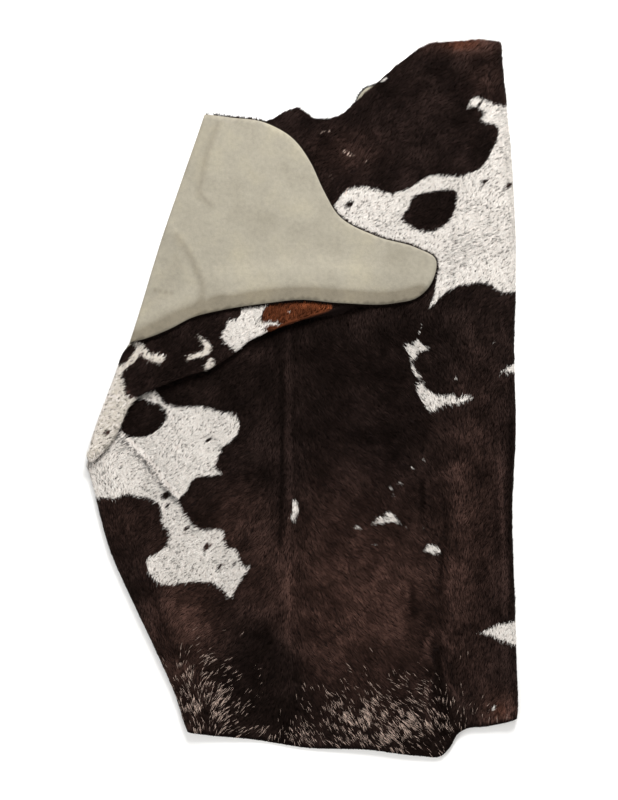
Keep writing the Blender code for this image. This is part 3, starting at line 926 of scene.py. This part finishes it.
# Which triangles of the hair side can be seen from some side or from above.
def seenTriangles(points, triangles, normals):
    tree = BVHTree.FromPolygons(points.tolist(), triangles.tolist())
    ways = [Vector((0, 0, 1))]
    for turn in range(6):
        around = math.radians(60 * turn)
        ways.append(Vector((math.cos(around), math.sin(around), 0.5)).normalized())
    clear = 2.2 * mm      # above the leather, so that a triangle doesn't hide itself
    middles = points[triangles].mean(axis=1)
    facing = normals[triangles].mean(axis=1)
    seen = np.zeros(len(triangles), dtype=bool)
    for k, (middle, normal) in enumerate(zip(middles, facing)):
        out = Vector(normal)
        start = Vector(middle) + out * clear
        for way in ways:
            if way.dot(out) > 0.05 and tree.ray_cast(start, way)[0] is None:
                seen[k] = True
                break
    return seen


hairValues = {
    "areaOfLock": 8.8e-6,     # square metres of hide for each lock
    "length": 20 * mm,
    "width": 2.5 * mm,
    "height": 0.45 * mm,
    "lift": 3,                # degrees between a lock and the leather
    "stray": 6,               # degrees, from lock to lock
    "sunk": 0.4 * mm,         # how deep the roots stand in the leather
    "shown": 0.6,             # the part of a lock that gives its place its colour
    "tuftStep": 8 * mm,       # locks stick together in tufts
    "tuftPull": 0.15,
    "tuftTurn": 7,            # degrees
    "tuftLength": 0.12,       # how much tufts differ in length
    "tuftEdge": 1.3 * mm,     # how far tufts blur the coat's outlines
    "spread": (0.2, 0.25, 0.3, 0.5),         # how much locks differ in length, width, height and lift
    "whiteSize": (0.75, 0.75, 0.55, 0.6),    # length, width, height and lift beside those of dark locks
    "fleckShare": (0.02, 0.0845),            # of the white locks, where flecks are few, and more in a crowd
    "fleckCrowd": 70 * mm,
    "fleckLength": 0.45,
    "fleckRise": 1.2 * mm,
    "fleckTip": 1.6 * mm,     # how far the tips are raised
    "tip": 0.6 * mm,
    "skinWidth": 0.55,
    "skinRise": 0.7 * mm,
    "highTip": 4 * mm,        # how far a lock may rise beside a fold
    "pastEdge": 4 * mm,       # how far a lock may reach past the cut edge
    "seed": 4,
}


# Random values. The pair is the least one and how much may be added.
def between(rng, count, pair):
    return pair[0] + pair[1] * rng.random(count)


# Roots spread evenly by area over some triangles, each with its triangle and its share of the corners.
def scatterRoots(points, triangles, rng):
    a, b, c = (points[triangles[:, k]] for k in range(3))
    area = 0.5 * np.linalg.norm(np.cross(b - a, c - a), axis=1)
    total = np.cumsum(area)
    count = int(total[-1] / hairValues["areaOfLock"])
    pick = np.searchsorted(total, (np.arange(count) + rng.random(count)) / count * total[-1])
    pick = np.minimum(pick, len(triangles) - 1)
    u = rng.random(count)
    v = rng.random(count)
    over = u + v > 1
    u[over] = 1 - u[over]
    v[over] = 1 - v[over]
    return pick, np.column_stack((1 - u - v, u, v))


# Each root's tuft: its number and its middle.
def findTufts(places, rng):
    step = hairValues["tuftStep"]
    low = places.min(axis=0)
    cells = np.unique(np.floor((places - low) / step).astype(int), axis=0)
    middles = low + (cells + rng.random(cells.shape)) * step
    tree = pointTree(middles)
    number = np.array([tree.find((x, y, 0))[1] for x, y in places])
    return number, middles


# Short hair of a turned leg's far side that shows past its cut edge.
fringeValues = {
    "step": 1.2 * mm,
    "length": 11 * mm,
    "spread": (0.5, 0.7),     # the least share of that length, and how much may be added
    "width": 3.2 * mm,
    "lean": 0.5,
    "leanStep": 40 * mm,      # how soon the lean swings along the edge
    "stray": 0.35,
    "sunk": 1 * mm,
    "droop": 1.2 * mm,
    "endGap": 25 * mm,        # without fringe, beside a fold
    "tone": (0.2, 0.3),
}


def growFringe(edge, middle, material):
    rng = np.random.default_rng(hairValues["seed"] + 1)
    step = fringeValues["step"]
    made = []
    for name in ("left hind leg", "right hind leg"):
        line = layHide(edge[name], edge)[0]
        line[:, :2] -= middle[:2]
        reach = np.concatenate(([0], np.cumsum(np.linalg.norm(np.diff(line, axis=0), axis=1))))
        at = np.arange(fringeValues["endGap"], reach[-1] - fringeValues["endGap"], step)
        count = len(at)
        at = at + rng.random(count) * step
        place = np.column_stack([np.interp(at, reach, line[:, axis]) for axis in range(3)])
        along = unit(np.gradient(place[:, :2], axis=0))
        out = np.column_stack((along[:, 1], -along[:, 0]))
        lean = rng.normal(fringeValues["lean"] * np.sin(at / fringeValues["leanStep"]), fringeValues["stray"])
        way = np.column_stack((unit(out + lean[:, None] * along), np.zeros(count)))
        down = np.tile((0.0, 0.0, -1.0), (count, 1))
        length = fringeValues["length"] * between(rng, count, fringeValues["spread"])
        below = np.full(count, sheetValues["thickness"] / 2)
        root = place - np.column_stack((out * fringeValues["sunk"], below))
        tip = root + way * length[:, None] + down * (fringeValues["droop"] * rng.random(count))[:, None]
        width = np.full(count, fringeValues["width"])
        made.append(makeLocks(root, down, way, width, width / 4, tip))
    points = np.concatenate(made)
    count = len(points) // 4
    print("edge_hair", count, "locks")
    tone = between(rng, count, fringeValues["tone"])
    return makeHairPiece("edge_hair", points, tone, np.zeros(count), material)


# How far some tips reach past the outline, from the outline's nearest place to their roots.
def reachPast(roots, tips, outline):
    tree = pointTree(outline)
    nearest = np.array([tree.find((x, y, 0))[1] for x, y in roots])
    along = np.roll(outline, -1, axis=0) - np.roll(outline, 1, axis=0)
    out = unit(np.column_stack((-along[:, 1], along[:, 0])))
    return ((tips - outline[nearest]) * out[nearest]).sum(axis=1)


# A lock is a long spike of three sides: two at the root, a low crest behind them and the tip.
def makeLocks(root, normal, way, width, height, tip):
    side = np.cross(normal, way) * width[:, None] / 2
    crest = root - way * (2 * mm) + normal * height[:, None]
    points = np.stack((crest, root + side, root - side, tip), axis=1)
    points[:, :, 2] = np.maximum(points[:, :, 2], 0.3 * mm)
    return points.reshape(-1, 3)


lockFaces = np.array(((0, 3, 1), (0, 2, 3), (0, 1, 2), (1, 3, 2)))
alongLock = (0, 0.05, 0.05, 1)    # how far along the lock each of its four points is


def makeHairPiece(name, points, tone, warm, material):
    locks = len(points) // 4
    faces = (lockFaces[None] + 4 * np.arange(locks)[:, None, None]).reshape(-1, 3)
    mesh = bpy.data.meshes.new(name)
    mesh.vertices.add(len(points))
    mesh.vertices.foreach_set("co", points.astype(np.float32).ravel())
    mesh.loops.add(faces.size)
    mesh.loops.foreach_set("vertex_index", faces.ravel().astype(np.int32))
    mesh.polygons.add(len(faces))
    mesh.polygons.foreach_set("loop_start", (3 * np.arange(len(faces))).astype(np.int32))
    mesh.update(calc_edges=True)
    mesh.validate()
    addFloats(mesh, "along", np.tile(alongLock, locks))
    addFloats(mesh, "tone", np.repeat(tone, 4))
    addFloats(mesh, "warm", np.repeat(warm, 4))
    low = points[:, :2].min(axis=0)
    size = points[:, :2].max(axis=0) - low
    layer = mesh.uv_layers.new(name="OFBake")
    places = mapValues["margin"] + mapValues["height"] * (points[faces.ravel(), :2] - low) / size
    layer.data.foreach_set("uv", places.astype(np.float32).ravel())
    mesh.materials.append(material)
    mesh.shade_smooth()
    return addObject(name, mesh)


Roots = namedtuple("Roots", "place normal way upper")
Tufts = namedtuple("Tufts", "number middles tone length edge")
Looks = namedtuple("Looks", "white fleck skin warm tone")


# Roots on all of the hair side that can be seen, their tufts, and the way that each lock points.
def plantHair(points, triangles, top, rng):
    normals = vertexNormals(points, triangles)
    hairy = triangles[seenTriangles(points, triangles, normals)]
    pick, share = scatterRoots(points, hairy, rng)

    def at(values):
        corners = values[hairy[pick]]
        return (corners * (share[..., None] if corners.ndim == 3 else share)).sum(axis=1)

    normal = unit(at(normals))
    place = at(points)
    number, middles = findTufts(place[:, :2], rng)
    turn = rng.normal(0, hairValues["tuftTurn"], len(middles))
    tone = rng.random(len(middles))
    length = rng.normal(1, hairValues["tuftLength"], len(middles))
    edge = rng.normal(0, hairValues["tuftEdge"], len(middles))
    stray = rng.normal(0, hairValues["stray"], len(place))
    angle = hairAngle(place[:, :2]) + np.radians(turn[number] + stray)
    way = np.column_stack((np.cos(angle), np.sin(angle), np.zeros(len(place))))
    way = unit(way - (way * normal).sum(axis=1)[:, None] * normal)
    tufts = Tufts(number, middles, tone[number], length[number], edge[number])
    return Roots(place, normal, way, at(top) > 0.5), tufts


# Axes turned by some degrees.
def turnAxes(degrees):
    a = math.radians(degrees)
    return np.array(((-math.sin(a), math.cos(a)), (math.cos(a), math.sin(a))))


# Pale skin shows between tufts of the neck's hair, and as a few healed scratches on the rump.
skinValues = {
    "neck": (
        Tint(-275, -850, 75, 100, 0, 0.95), Tint(235, -900, 150, 80, 0, 0.90),
        Tint(-20, -935, 150, 25, 0, 0.3)),
    "clump": 26 * mm,
    "streak": 4 * mm,
    "streakTurn": 45,         # degrees
    "scratches": (
        ((52, 742), (66, 752), (84, 750)), ((112, 694), (132, 684), (150, 682)), ((170, 671), (183, 664)),
        ((78, 628), (88, 612)), ((128, 590), (119, 574))),
    "scratchWide": 1.8 * mm,
}


# Which locks are skin that shows in streaks at the neck, and which are healed scratches.
def findSkin(spot, shown, rng):
    count = len(spot)
    bare = readTints(shown, skinValues["neck"])[1]
    clumped = 0.3 + 0.7 * smoothstep(softNoise(spot, skinValues["clump"], 36), 0.42, 0.55)
    streaks = softNoise(spot @ turnAxes(skinValues["streakTurn"]) * (1, 0.3), skinValues["streak"], 33) > 0.52
    isSkin = rng.random(count) < clumped * bare * streaks
    away = np.full(count, 1.0)
    for path in skinValues["scratches"]:
        away = np.minimum(away, distanceToPath(shown, np.array(path) * mm, 12 * mm))
    return isSkin, away < skinValues["scratchWide"] * (0.6 + 0.6 * rng.random(count))


# The tone of a lock goes from 0, the darkest, to 1. Pairs are the least value and how much may be added.
toneValues = {
    "middle": 0.42,
    "byTuft": 0.35,
    "byLock": 0.35,
    "byPlace": ((0.5, 55 * mm, 34), (0.3, 18 * mm, 35)),    # share, size and seed
    "byTint": 0.45,
    "whiteSpread": 0.3,       # white locks differ less, are lighter and take less of a tint
    "whiteLighter": 0.1,
    "whiteByTint": 0.3,
    "fleck": (0.05, 0.24),
    "skin": (0.6, 0.4),
    "skinWarm": (0.8, 0.2),
    "whiteWarm": 0.1,         # how much of a tint's warmth white and dark locks take
    "darkWarm": 0.8,
    "coolest": -0.2,
    "brownFrom": 0.6,         # the warmth from which a patch counts as brown
    "whiteTufts": 0.02,       # of the tufts in brown hair
}


# Each lock's kind, how warm its colour is from 0 to 1, and how light.
def colorHair(roots, tufts, rng):
    spot = roots.place[:, :2]
    count = len(spot)
    # what shows of a lock is its outer half, so its colour is that of the coat there
    shown = spot + roots.way[:, :2] * (hairValues["shown"] * hairValues["length"])
    inWhite, warm = readCoat(shown + rng.normal(0, 1 * mm, shown.shape), roots.upper)
    isWhite = inWhite + tufts.edge > 0
    few, more = hairValues["fleckShare"]
    isFleck = isWhite & (rng.random(count) < few + more * softNoise(spot, hairValues["fleckCrowd"], 32))
    isBrown = warm > toneValues["brownFrom"]
    whiteTuft = rng.random(len(tufts.middles)) < toneValues["whiteTufts"]
    isWhite |= isBrown & whiteTuft[tufts.number] & roots.upper
    warm = np.where(isWhite & isBrown, 0, warm)

    isSkin, isScar = findSkin(spot, shown, rng)
    isWhite = isWhite | isSkin | isScar
    # the tints' tones are partly the coat's own shades and partly painted sheen
    tintWarm, tintTone = readTints(shown, tintsAndSheen)
    skinWarm = between(rng, count, toneValues["skinWarm"])
    takes = np.where(isWhite, toneValues["whiteWarm"], toneValues["darkWarm"])
    warm = np.where(isSkin | isScar, skinWarm, warm + np.clip(tintWarm, toneValues["coolest"], 1) * takes)

    noise = toneValues["byTuft"] * (tufts.tone - 0.5) + toneValues["byLock"] * (rng.random(count) - 0.5)
    for share, size, seed in toneValues["byPlace"]:
        noise += share * (softNoise(spot, size, seed) - 0.5)
    noise = np.where(isWhite, toneValues["whiteSpread"] * noise + toneValues["whiteLighter"], noise)
    # painted shade in the creases and painted sheen on their ridges darken and lighten the locks
    creaseShading = readCreases(shown, bodyCreases)[1]
    tinted = np.where(isWhite, toneValues["whiteByTint"], 1) * tintTone + creaseShading
    tone = toneValues["middle"] + noise + toneValues["byTint"] * tinted
    tone = np.where(isFleck, between(rng, count, toneValues["fleck"]), tone)
    tone = np.where(isSkin, between(rng, count, toneValues["skin"]), tone)
    return Looks(isWhite, isFleck, isSkin, np.clip(warm, 0, 1), np.clip(tone, 0, 1))


# The four points of each lock.
def shapeHair(roots, tufts, looks, outline, rng):
    place, normal, way, _ = roots
    count = len(place)
    usual = hairValues["length"]
    byLength, byWidth, byHeight, byLift = [(1 - spread, 2 * spread) for spread in hairValues["spread"]]
    whiteLength, whiteWidth, whiteHeight, whiteLift = hairValues["whiteSize"]
    root = place + normal * (sheetValues["thickness"] / 2 - hairValues["sunk"])
    root += normal * np.where(looks.fleck, hairValues["fleckRise"],
                              np.where(looks.skin, hairValues["skinRise"], 0))[:, None]
    length = usual * tufts.length * between(rng, count, byLength)
    past = reachPast(place[:, :2], place[:, :2] + way[:, :2] * length[:, None], outline)
    past = np.clip(past - hairValues["pastEdge"] * rng.random(count), 0, None)
    length = np.maximum(length - past, 0.35 * length)
    length *= np.where(looks.fleck, hairValues["fleckLength"], np.where(looks.white, whiteLength, 1))
    width = hairValues["width"] * between(rng, count, byWidth)
    width *= np.where(looks.skin, hairValues["skinWidth"], np.where(looks.white, whiteWidth, 1))
    height = hairValues["height"] * between(rng, count, byHeight) * np.where(looks.white, whiteHeight, 1)
    lift = np.radians(hairValues["lift"] * between(rng, count, byLift)) * np.where(looks.white, whiteLift, 1)
    rise = length * np.sin(lift) + np.where(looks.fleck, hairValues["fleckTip"], hairValues["tip"])
    tip = root + way * (length * np.cos(lift))[:, None] + normal * rise[:, None]
    tuftTip = tufts.middles[tufts.number] + way[:, :2] * usual
    tip[:, :2] += hairValues["tuftPull"] * (tuftTip - tip[:, :2]) * (length / usual)[:, None]
    tip[:, 2] = np.clip(tip[:, 2], 0.4 * mm, root[:, 2] + hairValues["highTip"])
    return makeLocks(root, normal, way, width, height, tip).reshape(count, 4, 3)


# The hair's pieces: where each begins and ends along the hide, and whether its hair is white.
hairPieces = {
    "neck_hair": (-2, -0.56, False),
    "shoulder_hair": (-0.56, -0.12, False),
    "back_hair": (-0.12, 0.30, False),
    "rump_hair": (0.30, 2, False),
    "white_flank_hair": (-2, 0.20, True),
    "white_rump_hair": (0.20, 2, True),
}


def growHair(points, triangles, top, edge, middle):
    rng = np.random.default_rng(hairValues["seed"])
    roots, tufts = plantHair(points, triangles, top, rng)
    print("hair roots:", len(roots.place))
    looks = colorHair(roots, tufts, rng)
    locks = shapeHair(roots, tufts, looks, outerEdge() - middle[:2], rng)

    shades = {name: linear(color) for name, color in coatColors.items()}
    dark = hairMaterial(
        "dark cow hair", ((0, shades["black"]), (0.35, shades["brownBlack"]), (1, shades["brown"])),
        ((0, grey(0.35)), (0.45, grey(1.0)), (1, grey(3.0))), gloss=0.09, sheen="#d9b79f", rootShade=0.6)
    pale = hairMaterial(
        "white cow hair", ((0, shades["white"]), (0.5, shades["cream"]), (0.9, shades["skin"])),
        ((0, grey(0.13)), (0.12, grey(0.42)), (0.3, grey(0.75)), (0.5, grey(0.92)), (1, grey(1.02))),
        gloss=0.3, sheen="#ffffff", rootShade=0.93)
    y = roots.place[:, 1]
    made = [growFringe(edge, middle, dark)]
    for name, (low, high, isWhite) in hairPieces.items():
        chosen = np.flatnonzero((looks.white == isWhite) & (y >= low) & (y < high))
        print(name, len(chosen), "locks")
        made.append(makeHairPiece(name, locks[chosen].reshape(-1, 3), looks.tone[chosen], looks.warm[chosen],
                                  pale if isWhite else dark))
    return made


def makeHide():
    edge = {run.name: smoothRun(flatten(np.array(run.marks) * mm, run.panel)) for run in cutEdge}
    flat, triangles = flatMesh(edge)
    points, (spot, _, top, _, _) = layHide(flat, edge)
    middle = (points.min(axis=0) + points.max(axis=0)) / 2
    points[:, :2] -= middle[:2]
    print("leather:", len(points), "points,", len(triangles), "triangles")
    white, warm = readCoat(spot, top > 0.5)
    # painted shade on the flap's suede, from the tones of its creases
    handled = readCreases(spot, flapCreases)[1]
    leather = makeLeather(points, triangles, flat, white, warm, handled)
    hair = growHair(points, triangles, top, edge, middle)


# The outline of the folded hide from above, clockwise, with a point about every 6 mm.
def outerEdge():
    step = 6 * mm
    endGap = 10 * mm
    runs = {run.name: smoothPath(np.array(run.marks) * mm, step)[:-1] for run in cutEdge}
    sides = {}
    for name, fold in (("right", rightFold), ("left", leftFold), ("flap", flapFold)):
        stations = np.arange(endGap, foldFrame(fold)[3] - endGap, step)
        sides[name] = foldLines(fold, stations, np.array((-fold.round * mm,))[:, None])[0]
    return np.concatenate((runs["rump"], sides["right"], runs["neck"], sides["left"], runs["left flank"],
                           sides["flap"]))


# The floor is a pale sweep, and the light is soft and comes from beyond the rump.
stageValues = {
    "floorSize": 12,
    "floorColor": "#f4f3f1",
    "cameraAt": (0.019, -0.003),
    "viewHeight": 2.24,       # how much the picture's long side covers
    "lens": 85,
    "filmWidth": 36,
    "skyStrength": 0.40,
    "lights": {               # place, size and power
        "key": ((0.9, 3.9, 2.4), 1.6, 330),
        "fill": ((-3.2, -0.4, 3.4), 3.0, 75),
        "top": ((1.6, -1.6, 4.6), 3.0, 70),
    },
}


def makeStage():
    bpy.ops.mesh.primitive_plane_add(size=stageValues["floorSize"], location=(0, 0, 0))
    floor = bpy.context.active_object
    floor.name = "floor"
    paper = newMaterial("white paper sweep")
    shader = addNode(paper, "BsdfPrincipled", Base_Color=linear(stageValues["floorColor"]), Roughness=0.9)
    addNode(paper, "OutputMaterial", Surface=(shader, "BSDF"))
    floor.data.materials.append(paper)
    floor.select_set(False)

    for name, (place, size, power) in stageValues["lights"].items():
        lamp = bpy.data.lights.new(name, "AREA")
        lamp.size = size
        lamp.energy = power
        light = bpy.data.objects.new(name, lamp)
        light.location = place
        light.rotation_euler = (-Vector(place)).to_track_quat("-Z", "Y").to_euler()
        bpy.context.collection.objects.link(light)
    world = bpy.data.worlds.new("studio")
    world.use_nodes = True
    sky = world.node_tree.nodes["Background"]
    sky.inputs["Color"].default_value = (1, 1, 1, 1)
    sky.inputs["Strength"].default_value = stageValues["skyStrength"]
    bpy.context.scene.world = world

    lens = bpy.data.cameras.new("camera")
    lens.lens = stageValues["lens"]
    lens.sensor_width = stageValues["filmWidth"]
    lens.clip_end = 50
    camera = bpy.data.objects.new("camera", lens)
    distance = stageValues["viewHeight"] * stageValues["lens"] / stageValues["filmWidth"]
    camera.location = (*stageValues["cameraAt"], distance)
    bpy.context.collection.objects.link(camera)
    bpy.context.scene.camera = camera
    bpy.context.scene.view_settings.view_transform = "Standard"
    print("floor, lights and camera are in place")


makeStage()
makeHide()
